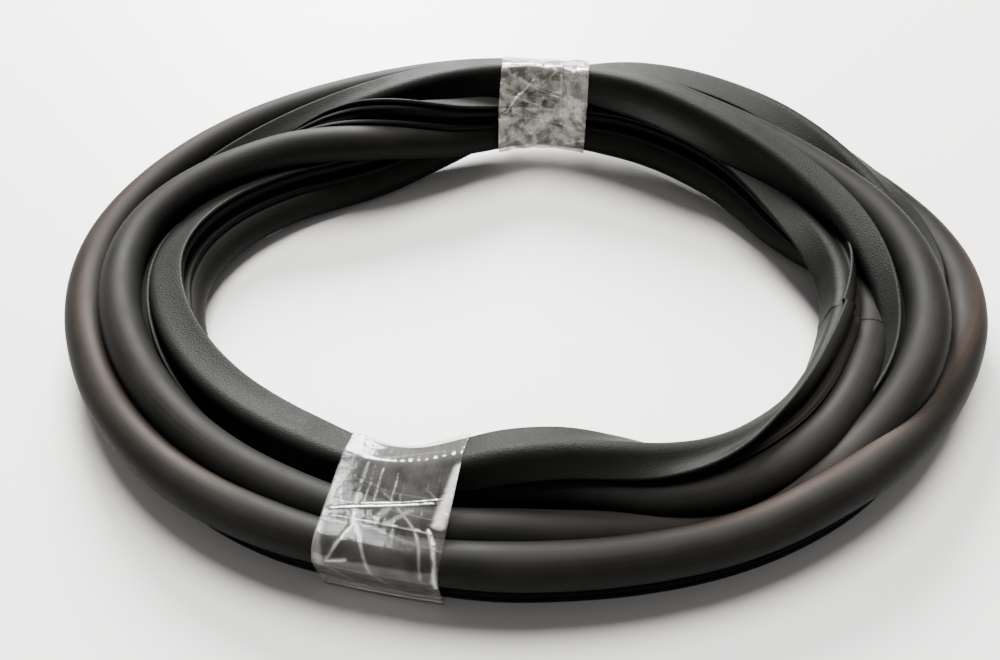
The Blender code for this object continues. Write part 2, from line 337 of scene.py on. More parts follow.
@dataclass
class Coil:
    """The way the three turns lie: where each bulb is, how it is rolled and how far its lip is open."""

    half_width: float = 187.0 * MM
    half_depth: float = 139.0 * MM
    centre: tuple[float, float] = (-5.847 * MM, 1.226 * MM)
    stations: int = 48
    clearance: float = 0.5 * MM
    back_tape: float = 82.0
    front_tape: float = 251.0
    back_squeeze: float = 0.88
    front_squeeze: float = 0.87
    squeeze_reach: float = 20.0
    film: float = 0.9 * MM
    twist: float = -360.0
    angles: tuple[int, ...] = (0, 20, 40, 60, 84, 105, 125, 145, 170, 195, 222, 249, 275, 300, 320, 340)
    # Outward offset and height in millimetres and roll in degrees, turn by turn.
    turns: tuple[tuple[tuple[int, int, int], ...], ...] = (
        ((-4, 33, 36), (-10, 35, 4), (-8, 38, -14), (0, 41, -20), (6, 40, -20), (10, 38, -12),
         (12, 35, 8), (12, 32, 30), (13, 26, 46), (11, 22, 58), (18, 21, 72), (20, 22, 76),
         (20, 22, 75), (20, 22, 78), (19, 24, 80), (20, 22, 60)),
        ((26, 22, 10), (24, 22, -35), (22, 27, -70), (22, 29, -82), (12, 25, -88), (-14, 17, -94),
         (-30, 13, -98), (-27, 13, -104), (-22, 12, -110), (-22, 12, -96), (-13, 10, -77),
         (-6, 12, -70), (-7, 20, -62), (10, 17, -20), (4, 17, 2), (-9, 18, -8)),
        ((-15, 15, -28), (-29, 12, -74), (-22, 17, -88), (-10, 17, -90), (-8, 18, -88), (-26, 24, -100),
         (-33, 33, -145), (-20, 35, -220), (-9, 34, -290), (-7, 32, -290), (1, 24, -284), (6, 20, -281),
         (6, 16, -298), (7, 9, -350), (9, 9, -318), (6, 26, -294)),
    )
    openings: tuple[LipOpening, ...] = (
        LipOpening(0, 50, 34, roof=4, side=40, spread=0.3),
        LipOpening(1, 272, 20, roof=10, side=8),
        LipOpening(1, 215, 40, roof=6, side=10),
        LipOpening(1, 298, 20, roof=8),
        LipOpening(1, 342, 60, roof=172, side=4),
        LipOpening(0, 125, 45, roof=10, side=8),
        LipOpening(2, 85, 60, roof=9, side=6),
    )
    # How open the lip's two arms rest, how much that sways, in degrees, and how often in a turn.
    roof_rest: tuple[float, float] = (2.0, 5.0)
    side_rest: tuple[float, float] = (1.5, 4.0)
    waves: float = 9.0
    yielding: float = 0.8
    # Middle, half length and share where the turns are pressed into each other.
    pressed: tuple[float, float, float] = (315.0, 60.0, 0.56)
    relax_steps: int = 400
    relax_smoothing: float = 0.12
    relax_push: float = 0.35
    smoothed_share: float = 0.8

    def frame_at(self, angle: float) -> tuple[np.ndarray, np.ndarray]:
        """Return the oval's point and its outward normal.

        Args:
            angle: The polar angle round the coil, in radians.

        Returns:
            The point and the normal, both in plan.
        """
        c, s = math.cos(angle), math.sin(angle)
        radius = 1 / math.hypot(c / self.half_width, s / self.half_depth)
        point = np.array((radius * c, radius * s))
        normal = point / np.array((self.half_width**2, self.half_depth**2))
        return point + np.array(self.centre), normal / np.linalg.norm(normal)

    def squeeze(self, degrees: float) -> float:
        """Return how far a tape band squeezes the section.

        Args:
            degrees: The angle round the coil.

        Returns:
            The factor on the section's size.
        """
        factor = 1.0
        for centre, squeeze in ((self.back_tape, self.back_squeeze), (self.front_tape, self.front_squeeze)):
            away = abs((degrees - centre + 180) % 360 - 180) / self.squeeze_reach
            if away < 1:
                factor -= (1 - squeeze) * math.cos(math.pi / 2 * away) ** 2
        return factor

    def spline(self, knots: np.ndarray, rows: np.ndarray, positions: np.ndarray) -> np.ndarray:
        """Return the values of a smooth curve that runs round the closed loop.

        Args:
            knots: Where the rows lie, in turns.
            rows: Their values, with the roll last.
            positions: Where the values are wanted, in turns.

        Returns:
            One row for each position.
        """
        count = len(self.turns)
        twist = np.zeros(rows.shape[1])
        twist[2] = math.radians(self.twist)
        knots = np.concatenate((knots[-2:] - count, knots, knots[:3] + count))
        rows = np.concatenate((rows[-2:] - twist, rows, rows[:3] + twist))
        slopes = (rows[2:] - rows[:-2]) / (knots[2:] - knots[:-2])[:, None]
        slopes = np.concatenate((slopes[:1], slopes, slopes[-1:]))
        index = np.searchsorted(knots, positions, side="right") - 1
        span = (knots[index + 1] - knots[index])[:, None]
        t = ((positions - knots[index]) / span[:, 0])[:, None]
        return ((2 * t**3 - 3 * t**2 + 1) * rows[index] + (t**3 - 2 * t**2 + t) * span * slopes[index]
                + (3 * t**2 - 2 * t**3) * rows[index + 1] + (t**3 - t**2) * span * slopes[index + 1])

    def relaxed(self, outline: np.ndarray, profile: Profile) -> tuple[np.ndarray, np.ndarray]:
        """Return where the turns come to lie once they no longer overlap.

        Args:
            outline: The section at rest, which the floor holds up.
            profile: The sizes of the section.

        Returns:
            The stations' positions in turns, and offset, height and roll at each.
        """
        count = len(self.turns)
        knots = np.array([turn + angle / 360 for turn in range(count) for angle in self.angles])
        rows = np.array([(o * MM, h * MM, math.radians(r)) for turn in self.turns for o, h, r in turn])
        positions = np.arange(self.stations * count) / self.stations
        values = self.spline(knots, rows, positions)
        scales = np.array([self.squeeze(360 * (p % 1)) for p in positions])
        place = values[:, :2].copy()
        laid = self._bend(place)
        roll = values[:, 2]
        c, s = np.cos(roll), np.sin(roll)
        middle, half, share = self.pressed
        away = np.minimum(np.abs(360 * (positions % 1) - middle) / half, 1.0)
        give = self.yielding - (self.yielding - share) * np.cos(math.pi / 2 * away) ** 2
        x = profile.near - (profile.carrier_width + profile.lip_gap + profile.lip) / 2
        y = (profile.lip_gap + profile.lip - profile.overhang) / 2
        offset = np.stack((x * c - y * s, x * s + y * c), axis=1)
        centres = np.stack((np.zeros_like(offset), offset), axis=1) * scales[:, None, None]
        reach_carrier = (profile.carrier_height + profile.lip_gap + profile.lip + profile.overhang) / 2
        reach = np.array((profile.bulb / 2, reach_carrier))[None, :] * (scales * give)[:, None]
        reach = reach.reshape(count, self.stations, 2)
        rises = outline[None, :, 0] * s[:, None] + outline[None, :, 1] * c[:, None]
        lowest = self.film * (scales < 1) - rises.min(axis=1) * scales
        pairs = [(first, second, mine, other) for first in range(count) for second in range(first + 1, count)
                 for mine in range(2) for other in range(2)]
        for step in range(self.relax_steps):
            if step < self.relax_steps * self.smoothed_share:
                place += self.relax_smoothing * (self._bend(place) - laid)
            discs = (place[:, None, :] + centres).reshape(count, self.stations, 2, 2)
            move = np.zeros((count, self.stations, 2))
            for first, second, mine, other in pairs:
                gap = discs[second, :, other] - discs[first, :, mine]
                distance = np.maximum(np.linalg.norm(gap, axis=1), self.clearance)
                need = reach[first, :, mine] + reach[second, :, other] + self.clearance - distance
                push = (np.maximum(need, 0) / distance * self.relax_push)[:, None] * gap
                move[first] -= push
                move[second] += push
            place += move.reshape(-1, 2)
            place[:, 1] = np.maximum(place[:, 1], lowest)
        return positions, np.concatenate((place, roll[:, None]), axis=1)

    def _bend(self, values: np.ndarray) -> np.ndarray:
        """Return how far each value lies from the middle of its neighbours."""
        return (np.roll(values, 1, axis=0) + np.roll(values, -1, axis=0)) / 2 - values

    def opened(self, position: float) -> tuple[float, float, float]:
        """Return how far the lip stands open.

        Args:
            position: The place along the loop, in turns.

        Returns:
            The turns of the roof arm and the side arm in degrees, and the side arm's stretch.
        """
        count = len(self.turns)
        wave = Vector((position * self.waves, 3.1, 0.0))
        (roof, roof_sway), (side, side_sway) = self.roof_rest, self.side_rest
        total = [roof + roof_sway * noise.noise(wave), side + side_sway * noise.noise(wave * 1.7), 0.0]
        for o in self.openings:
            middle = o.turn + o.angle / 360
            away = abs((position - middle + count / 2) % count - count / 2) * 360 / o.half
            if away < 1:
                share = math.cos(math.pi / 2 * away) ** 2
                total = [total[0] + o.roof * share, total[1] + o.side * share, total[2] + o.spread * share]
        return total[0], total[1], total[2]


# Finishes

def linear(code: str, alpha: float = 1.0) -> tuple[float, float, float, float]:
    """Return a colour that shaders take.

    Args:
        code: The sRGB colour as six hex digits.
        alpha: Its fourth value.

    Returns:
        Linear red, green and blue, and the fourth value.
    """
    parts = [int(code[i:i + 2], 16) / 255 for i in (0, 2, 4)]
    low, high = 12.92, 1.055
    return tuple([c / low if c <= 0.04045 else ((c + 0.055) / high) ** 2.4 for c in parts] + [alpha])


def add_node(material: bpy.types.Material, kind: str, settings: dict | None = None,
             inputs: dict | None = None) -> bpy.types.Node:
    """Add a node to a material and wire it.

    Args:
        material: The material that gets the node.
        kind: The node's type name.
        settings: Its attributes.
        inputs: Values or output sockets for its inputs, by name or index.

    Returns:
        The new node.
    """
    tree = material.node_tree
    node = tree.nodes.new(kind)
    for name, value in (settings or {}).items():
        setattr(node, name, value)
    for name, value in (inputs or {}).items():
        if isinstance(value, bpy.types.NodeSocket):
            tree.links.new(value, node.inputs[name])
        else:
            node.inputs[name].default_value = value
    return node


def new_material(name: str) -> tuple[bpy.types.Material, bpy.types.Node]:
    """Return a new material and its shader node.

    Args:
        name: The material's name.

    Returns:
        The material and its Principled shader.
    """
    material = bpy.data.materials.new(name)
    material.use_nodes = True
    return material, material.node_tree.nodes["Principled BSDF"]


@dataclass(frozen=True)
class RubberFinish:
    """EPDM rubber, extruded: matte black with a dry bloom, dust and painted top light on what faces up, and
    brown stains.
    """

    name: str
    dark: str
    light: str
    # Colour of the dust and painted top light on what faces up.
    dust_and_top_light: str
    roughness: float
    gloss: float
    grain: float
    grain_depth: float
    streak_depth: float
    stained: bool
    mottle_depth: float = 0.03 * MM

    def make(self) -> bpy.types.Material:
        """Return the material."""
        material, shader = new_material(self.name)
        links = material.node_tree.links
        place = add_node(material, "ShaderNodeTexCoord")
        # Bloom and handling marks, about 25 mm across.
        cloud = add_node(material, "ShaderNodeTexNoise", inputs={
            "Vector": place.outputs["Object"], "Scale": 40.0, "Detail": 5.0, "Roughness": 0.6})
        # Extrusion lines: UV runs round the section in x and along the seal in y, both in metres,
        # so a line is about 1 mm wide and 110 mm long.
        run = add_node(material, "ShaderNodeMapping", inputs={
            "Vector": place.outputs["UV"], "Scale": (900.0, 9.0, 1.0)})
        streak = add_node(material, "ShaderNodeTexNoise", inputs={
            "Vector": run.outputs["Vector"], "Scale": 1.0, "Detail": 3.0, "Roughness": 0.55})
        colour = self._colour(material, place, cloud, streak)
        links.new(colour, shader.inputs["Base Color"])
        shader.inputs["Specular IOR Level"].default_value = self.gloss
        rough = add_node(material, "ShaderNodeMapRange", inputs={
            "Value": cloud.outputs["Fac"], "From Min": 0.3, "From Max": 0.75,
            "To Min": self.roughness - 0.06, "To Max": self.roughness + 0.08})
        links.new(rough.outputs["Result"], shader.inputs["Roughness"])
        bump = add_node(material, "ShaderNodeBump", inputs={
            "Height": self._height(material, place, streak), "Strength": 1.0, "Distance": 1.0})
        links.new(bump.outputs["Normal"], shader.inputs["Normal"])
        return material

    def _colour(self, material: bpy.types.Material, place: bpy.types.Node, cloud: bpy.types.Node,
                streak: bpy.types.Node) -> bpy.types.NodeSocket:
        """Return the rubber's colour, with dust and painted top light on what faces up, and stains.

        Args:
            material: The material that gets the nodes.
            place: The coordinates.
            cloud: The noise of the bloom.
            streak: The noise of the extrusion lines.

        Returns:
            The socket that gives the colour.
        """
        mixed = add_node(material, "ShaderNodeMath", {"operation": "MULTIPLY_ADD"}, {
            0: streak.outputs["Fac"], 1: 0.5, 2: cloud.outputs["Fac"]})
        ramp = add_node(material, "ShaderNodeValToRGB", inputs={"Fac": mixed.outputs[0]})
        first, last = ramp.color_ramp.elements
        first.position, first.color = 0.45, linear(self.dark)
        last.position, last.color = 0.95, linear(self.light)
        # Dust from the shelf together with painted top light: what faces up is lightened, in the same
        # patches as the bloom.
        facing_axes = add_node(material, "ShaderNodeSeparateXYZ", inputs={"Vector": place.outputs["Normal"]})
        faces_up = add_node(material, "ShaderNodeMapRange", {"interpolation_type": "SMOOTHSTEP"}, {
            "Value": facing_axes.outputs["Z"], "From Min": 0.15, "From Max": 1.0})
        dust_and_top_light_share = add_node(material, "ShaderNodeMath", {"operation": "MULTIPLY", "use_clamp": True}, {
            0: faces_up.outputs["Result"], 1: mixed.outputs[0]})
        dust_and_top_light_mix = add_node(material, "ShaderNodeMix", {"data_type": "RGBA"}, {
            0: dust_and_top_light_share.outputs[0], 6: ramp.outputs["Color"], 7: linear(self.dust_and_top_light)})
        if not self.stained:
            return dust_and_top_light_mix.outputs[2]
        # Stains in rubbed patches, about 4 mm wide and 45 mm long.
        mark = add_node(material, "ShaderNodeAttribute", {"attribute_name": "stain"})
        rub = add_node(material, "ShaderNodeMapping", inputs={
            "Vector": place.outputs["UV"], "Scale": (260.0, 22.0, 1.0)})
        patch = add_node(material, "ShaderNodeTexNoise", inputs={
            "Vector": rub.outputs["Vector"], "Scale": 1.0, "Detail": 4.0, "Roughness": 0.65})
        share = add_node(material, "ShaderNodeMath", {"operation": "MULTIPLY"}, {
            0: mark.outputs["Fac"], 1: patch.outputs["Fac"]})
        brown = add_node(material, "ShaderNodeMix", {"data_type": "RGBA"}, {
            0: share.outputs[0], 6: dust_and_top_light_mix.outputs[2], 7: linear("453730")})
        return brown.outputs[2]

    def _height(self, material: bpy.types.Material, place: bpy.types.Node,
                streak: bpy.types.Node) -> bpy.types.NodeSocket:
        """Return the height of the rubber's lines, grain and mottling.

        Args:
            material: The material that gets the nodes.
            place: The coordinates.
            streak: The noise of the extrusion lines.

        Returns:
            The socket that gives the height, in metres.
        """
        height = add_node(material, "ShaderNodeMath", {"operation": "MULTIPLY"}, {
            0: streak.outputs["Fac"], 1: self.streak_depth})
        if self.grain_depth > 0:
            cells = add_node(material, "ShaderNodeTexVoronoi", {"feature": "DISTANCE_TO_EDGE"}, {
                "Vector": place.outputs["Object"], "Scale": 1 / self.grain})
            raised = add_node(material, "ShaderNodeMapRange", inputs={
                "Value": cells.outputs["Distance"], "From Min": 0.0, "From Max": 0.35,
                "To Min": 0.0, "To Max": self.grain_depth})
            height = add_node(material, "ShaderNodeMath", {"operation": "ADD"}, {
                0: raised.outputs["Result"], 1: height.outputs[0]})
        # Mottling of the skin, about 2 mm across.
        fine = add_node(material, "ShaderNodeTexNoise", inputs={
            "Vector": place.outputs["Object"], "Scale": 520.0, "Detail": 3.0, "Roughness": 0.6})
        mottled = add_node(material, "ShaderNodeMath", {"operation": "MULTIPLY_ADD"}, {
            0: fine.outputs["Fac"], 1: self.mottle_depth, 2: height.outputs[0]})
        return mottled.outputs[0]


@dataclass(frozen=True)
class FilmFinish:
    """Polypropylene packing tape: clear, glossy and stiff, milky where it creases or doubles, with painted
    highlights along those creases and folds.
    """

    name: str
    clear: float
    milky: float
    # How far creases and folds turn the film near-white: partly its whitening, partly painted highlights.
    white: float
    bump: float
    patch_scale: float
    tint: str

    def make(self) -> bpy.types.Material:
        """Return the material."""
        material, shader = new_material(self.name)
        links = material.node_tree.links
        place = add_node(material, "ShaderNodeTexCoord")
        # The mark of creases and folds: whitening of the film there, together with painted highlights.
        fold = add_node(material, "ShaderNodeAttribute", {"attribute_name": "white_and_glint_mark"})
        # Haze of the glue, in patches of 6 to 10 mm, which stand close on the band at the back.
        patch = add_node(material, "ShaderNodeTexNoise", inputs={
            "Vector": place.outputs["Object"], "Scale": self.patch_scale, "Detail": 4.0, "Roughness": 0.6})
        haze = add_node(material, "ShaderNodeMapRange", inputs={
            "Value": patch.outputs["Fac"], "From Min": 0.4, "From Max": 0.66,
            "To Min": self.clear, "To Max": self.milky})
        rim = add_node(material, "ShaderNodeLayerWeight", inputs={"Blend": 0.35})
        edge = add_node(material, "ShaderNodeMath", {"operation": "MULTIPLY_ADD"}, {
            0: rim.outputs["Facing"], 1: 0.22, 2: haze.outputs["Result"]})
        alpha = add_node(material, "ShaderNodeMath", {"operation": "MULTIPLY_ADD", "use_clamp": True}, {
            0: fold.outputs["Fac"], 1: self.white, 2: edge.outputs[0]})
        # Creases and folds take a near-white colour, partly painted highlight.
        shade = add_node(material, "ShaderNodeMix", {"data_type": "RGBA"}, {
            0: fold.outputs["Fac"], 6: linear(self.tint), 7: linear("eeebe4")})
        # Dents of the film, about 5 mm across.
        fine = add_node(material, "ShaderNodeTexNoise", inputs={
            "Vector": place.outputs["Object"], "Scale": 210.0, "Detail": 2.0, "Roughness": 0.5})
        bump = add_node(material, "ShaderNodeBump", inputs={
            "Height": fine.outputs["Fac"], "Strength": self.bump, "Distance": 0.0006})
        links.new(shade.outputs[2], shader.inputs["Base Color"])
        # The index stands above the film's own, because its clearness takes from the gloss as well.
        shader.inputs["Roughness"].default_value = 0.13
        shader.inputs["IOR"].default_value = 2.4
        links.new(alpha.outputs[0], shader.inputs["Alpha"])
        links.new(bump.outputs["Normal"], shader.inputs["Normal"])
        return material


# Meshes

def sweep(rings: list[np.ndarray],
          closed: bool) -> tuple[bmesh.types.BMesh, bmesh.types.BMLayerItem, bmesh.types.BMLayerItem]:
    """Skin a row of rings, each with the same number of points.

    Args:
        rings: The rings, with points in space.
        closed: Whether the last ring joins the first.

    Returns:
        The mesh, and the layers that hold each vertex's ring and place on it.
    """
    count = len(rings[0])
    bm = bmesh.new()
    ring_layer = bm.verts.layers.int.new("ring")
    spot_layer = bm.verts.layers.int.new("spot")
    made = bmesh.ops.create_circle(bm, cap_ends=False, segments=count, radius=1.0)
    current = sorted(made["verts"], key=lambda v: v.index)
    for spot, vertex in enumerate(current):
        vertex[spot_layer] = spot
        vertex.co = rings[0][spot]
    edges = list(bm.edges)
    first_edges = edges
    for number, ring in enumerate(rings[1:], start=1):
        grown = bmesh.ops.extrude_edge_only(bm, edges=edges)["geom"]
        edges = [item for item in grown if isinstance(item, bmesh.types.BMEdge)]
        for vertex in (item for item in grown if isinstance(item, bmesh.types.BMVert)):
            vertex[ring_layer] = number
            vertex.co = ring[vertex[spot_layer]]
        edges = [edge for edge in edges if edge.verts[0][ring_layer] == edge.verts[1][ring_layer] == number]
    if closed:
        bmesh.ops.bridge_loops(bm, edges=edges + first_edges)
    return bm, ring_layer, spot_layer


def finish_piece(name: str, bm: bmesh.types.BMesh, materials: list[bpy.types.Material],
                 sharp: float) -> bpy.types.Object:
    """Make an object of a mesh, shaded smooth up to an angle.

    Args:
        name: The piece's name.
        bm: Its mesh, which is freed.
        materials: Its materials, in the order of their slots.
        sharp: The angle in degrees past which an edge stays sharp.

    Returns:
        The object, which rides on the body.
    """
    mesh = bpy.data.meshes.new(name)
    bm.to_mesh(mesh)
    bm.free()
    mesh.shade_smooth()
    mesh.set_sharp_from_angle(angle=math.radians(sharp))
    for material in materials:
        mesh.materials.append(material)
    piece = bpy.data.objects.new(name, mesh)
    bpy.context.scene.collection.objects.link(piece)
    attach(piece, "root")
    return piece


@dataclass(frozen=True)
class Joint:
    """The butt joint of the two ends: a groove between raised edges, with the ends slightly turned."""

    turn: int = 1
    angle: float = 346.0
    # Where rings lie round the joint, in millimetres along the seal, and how far it is kept clear of others.
    rings: tuple[float, ...] = (-1.6, -0.7, -0.35, 0.0, 0.35, 0.7, 1.6)
    clear: float = 2.2
    # Half lengths in millimetres and factors on the section: the groove and its raised edges.
    groove: tuple[float, float] = (0.5, 0.97)
    edges: tuple[float, float] = (1.2, 1.012)
    # The turn of each end in degrees, and the length in millimetres over which it fades.
    twist: tuple[float, float] = (2.5, 30.0)

    @property
    def middle(self) -> float:
        """Return the joint's place along the loop, in turns."""
        return self.turn + self.angle / 360

    def size(self, away: float) -> float:
        """Return the factor on the section at a distance in millimetres."""
        for half, factor in (self.groove, self.edges):
            if abs(away) < half:
                return factor
        return 1.0

    def roll(self, away: float) -> float:
        """Return how far the end is turned at a distance in millimetres, in radians."""
        degrees, reach = self.twist
        return math.radians(degrees) * math.copysign(math.exp(-abs(away) / reach), away)


@dataclass
class Seal:
    """The endless rubber extrusion, in the lie that the tape holds it in."""

    coil: Coil
    section: Section
    stations: int = 720
    joint: Joint = Joint()
    # The coil's mean radius in millimetres, which turns a share of a turn into a length.
    mean_radius: float = 165.0
    # Turn, first and last angle, and strength of each brown stain along the bulb.
    stains: tuple[tuple[int, float, float, float], ...] = (
        (0, 140.0, 235.0, 0.7), (0, 290.0, 390.0, 0.8), (2, 285.0, 330.0, 0.3))
    stain_angle: float = 44.0
    stain_width: float = 26.0
    stain_fade: float = 0.03
    # Turn, middle, half length and strength of the stretch whose ribbed roof is brown.
    dusty_roof: tuple[int, float, float, float] = (1, 330.0, 36.0, 0.4)

    def route(self) -> tuple[np.ndarray, np.ndarray, np.ndarray, np.ndarray]:
        """Return positions in turns, centre points, rolls and squeeze factors along the loop."""
        outline = self.section.ring(0.0, 0.0, 0.0)
        knots, rows = self.coil.relaxed(outline, self.section.profile)
        count = len(self.coil.turns)
        positions = np.arange(self.stations) * count / self.stations
        middle, one_turn = self.joint.middle, 2 * math.pi * self.mean_radius
        positions = positions[np.abs(positions - middle) > self.joint.clear / one_turn]
        positions = np.sort(np.concatenate((positions, middle + np.array(self.joint.rings) / one_turn)))
        values = self.coil.spline(knots, rows, positions)
        scales = np.array([self.coil.squeeze(360 * (p % 1)) for p in positions])
        points = []
        for position, (out, height, _) in zip(positions, values):
            origin, normal = self.coil.frame_at(2 * math.pi * position)
            flat = origin + normal * out
            points.append((flat[0], flat[1], height))
        return positions, np.array(points), values[:, 2], scales

    def rings(self) -> tuple[list[np.ndarray], np.ndarray, np.ndarray]:
        """Return the rings in space, their positions in turns and their lengths along the loop."""
        positions, points, rolls, scales = self.route()
        ahead, behind = np.roll(points, -1, axis=0), np.roll(points, 1, axis=0)
        travel = ahead - behind
        side = np.stack((travel[:, 1], -travel[:, 0], np.zeros(len(travel))), axis=1)
        side /= np.linalg.norm(side, axis=1)[:, None]
        rise = np.cross(side, travel)
        rise /= np.linalg.norm(rise, axis=1)[:, None]
        steps = np.linalg.norm(ahead - points, axis=1)
        along = np.concatenate(((0.0,), np.cumsum(steps)))
        rings = []
        for index, position in enumerate(positions):
            away = (position - self.joint.middle) * 2 * math.pi * self.mean_radius
            flat = self.section.ring(*self.coil.opened(position)) * scales[index] * self.joint.size(away)
            roll = rolls[index] + self.joint.roll(away)
            c, s = math.cos(roll), math.sin(roll)
            x = flat[:, 0] * c - flat[:, 1] * s
            y = flat[:, 0] * s + flat[:, 1] * c
            ring = points[index] + side[index] * x[:, None] + rise[index] * y[:, None]
            ring[:, 2] = np.maximum(ring[:, 2], 0.0)
            rings.append(ring)
        return rings, positions, along

    def stain_at(self, position: float, spot: int) -> float:
        """Return how brown the rubber is: in streaks along the bulb, and on the roof's ribs.

        Args:
            position: The place along the loop, in turns.
            spot: The place round the section.

        Returns:
            The strength, from 0 to 1.
        """
        point = self.section.points[spot]
        on_roof = point.y > self.section.profile.roof * 0.9 and point.roof == 0
        if point.zone is Zone.CARRIER and on_roof:
            turn, middle, half, strength = self.dusty_roof
            away = abs(position - turn - middle / 360) * 360 / half
            return max(0.0, 1 - away**2) * strength
        if point.zone is not Zone.BULB:
            return 0.0
        angle = math.degrees(math.atan2(point.y, point.x))
        away = abs((angle - self.stain_angle + 180) % 360 - 180) / self.stain_width
        across = math.exp(-away**2)
        strength = 0.0
        for turn, start, end, share in self.stains:
            low, high = turn + start / 360, turn + end / 360
            gain = min((position - low) / self.stain_fade, (high - position) / self.stain_fade, 1.0)
            strength = max(strength, share * gain)
        return across * max(strength, 0.0)

    def build(self) -> bpy.types.Object:
        """Return the seal, dressed."""
        rings, positions, along = self.rings()
        bm, ring_layer, spot_layer = sweep(rings, closed=True)
        stain = bm.verts.layers.float.new("stain")
        for vertex in bm.verts:
            vertex[stain] = self.stain_at(positions[vertex[ring_layer]], vertex[spot_layer])
        girth = self.section.girth
        spots, count = len(self.section.points), len(rings)
        uv = bm.loops.layers.uv.new("UVMap")
        for face in bm.faces:
            spot_low = min(loop.vert[spot_layer] for loop in face.loops)
            wraps_round = max(loop.vert[spot_layer] for loop in face.loops) - spot_low > 1
            numbers = [loop.vert[ring_layer] for loop in face.loops]
            wraps_along = max(numbers) - min(numbers) > 1
            for loop in face.loops:
                spot, ring = loop.vert[spot_layer], loop.vert[ring_layer]
                spot = spots if wraps_round and spot == 0 else spot
                ring = count if wraps_along and ring == 0 else ring
                loop[uv].uv = (girth[spot], along[ring])
            start = spots - 1 if wraps_round else spot_low
            zones = [self.section.points[spot % spots].zone.value for spot in (start, start + 1)]
            # A face beside the lip is lip, and one beside the bulb is bulb.
            face.material_index = max(zones) if Zone.LIP.value in zones else min(zones)
        bmesh.ops.recalc_face_normals(bm, faces=list(bm.faces))
        # Each finish's fourth colour is dust and painted top light, mixed onto what faces up.
        finishes = (
            # Sponge rubber skin: satin, slightly uneven, with pale dust and painted top light on what faces
            # up, and brown stains.
            RubberFinish("sponge_epdm_skin", "080908", "11110f", "21201d", 0.55, 0.055, 0.0, 0.0,
                         0.04 * MM, True),
            # Dense rubber: blacker and more matte, with sharp lines from the die.
            RubberFinish("dense_epdm", "040504", "0b0b0a", "1a1917", 0.58, 0.05, 0.0, 0.0,
                         0.14 * MM, True),
            # Cover lip: leather grain of 1.1 mm, rolled on while warm, which breaks up its shine.
            RubberFinish("grained_epdm", "070807", "0f0f0e", "1d1d1a", 0.55, 0.07, 1.1 * MM, 0.08 * MM,
                         0.03 * MM, False),
        )
        piece = finish_piece("door_seal", bm, [finish.make() for finish in finishes], 50.0)
        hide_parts("seal")
        return piece


@dataclass(frozen=True)
class Fold:
    """A fold or doubled stretch of film, between two places on the band.

    A place is the distance across the band in millimetres and the angle round the bundle in degrees.
    """

    start: tuple[float, float]
    end: tuple[float, float]
    width: float
    strength: float
    lift: float = 0.0


@dataclass(frozen=True)
class Creases:
    """A set of like creases: their heading in degrees, their spacing and their share of the wrinkle."""

    heading: float
    spacing: float
    share: float


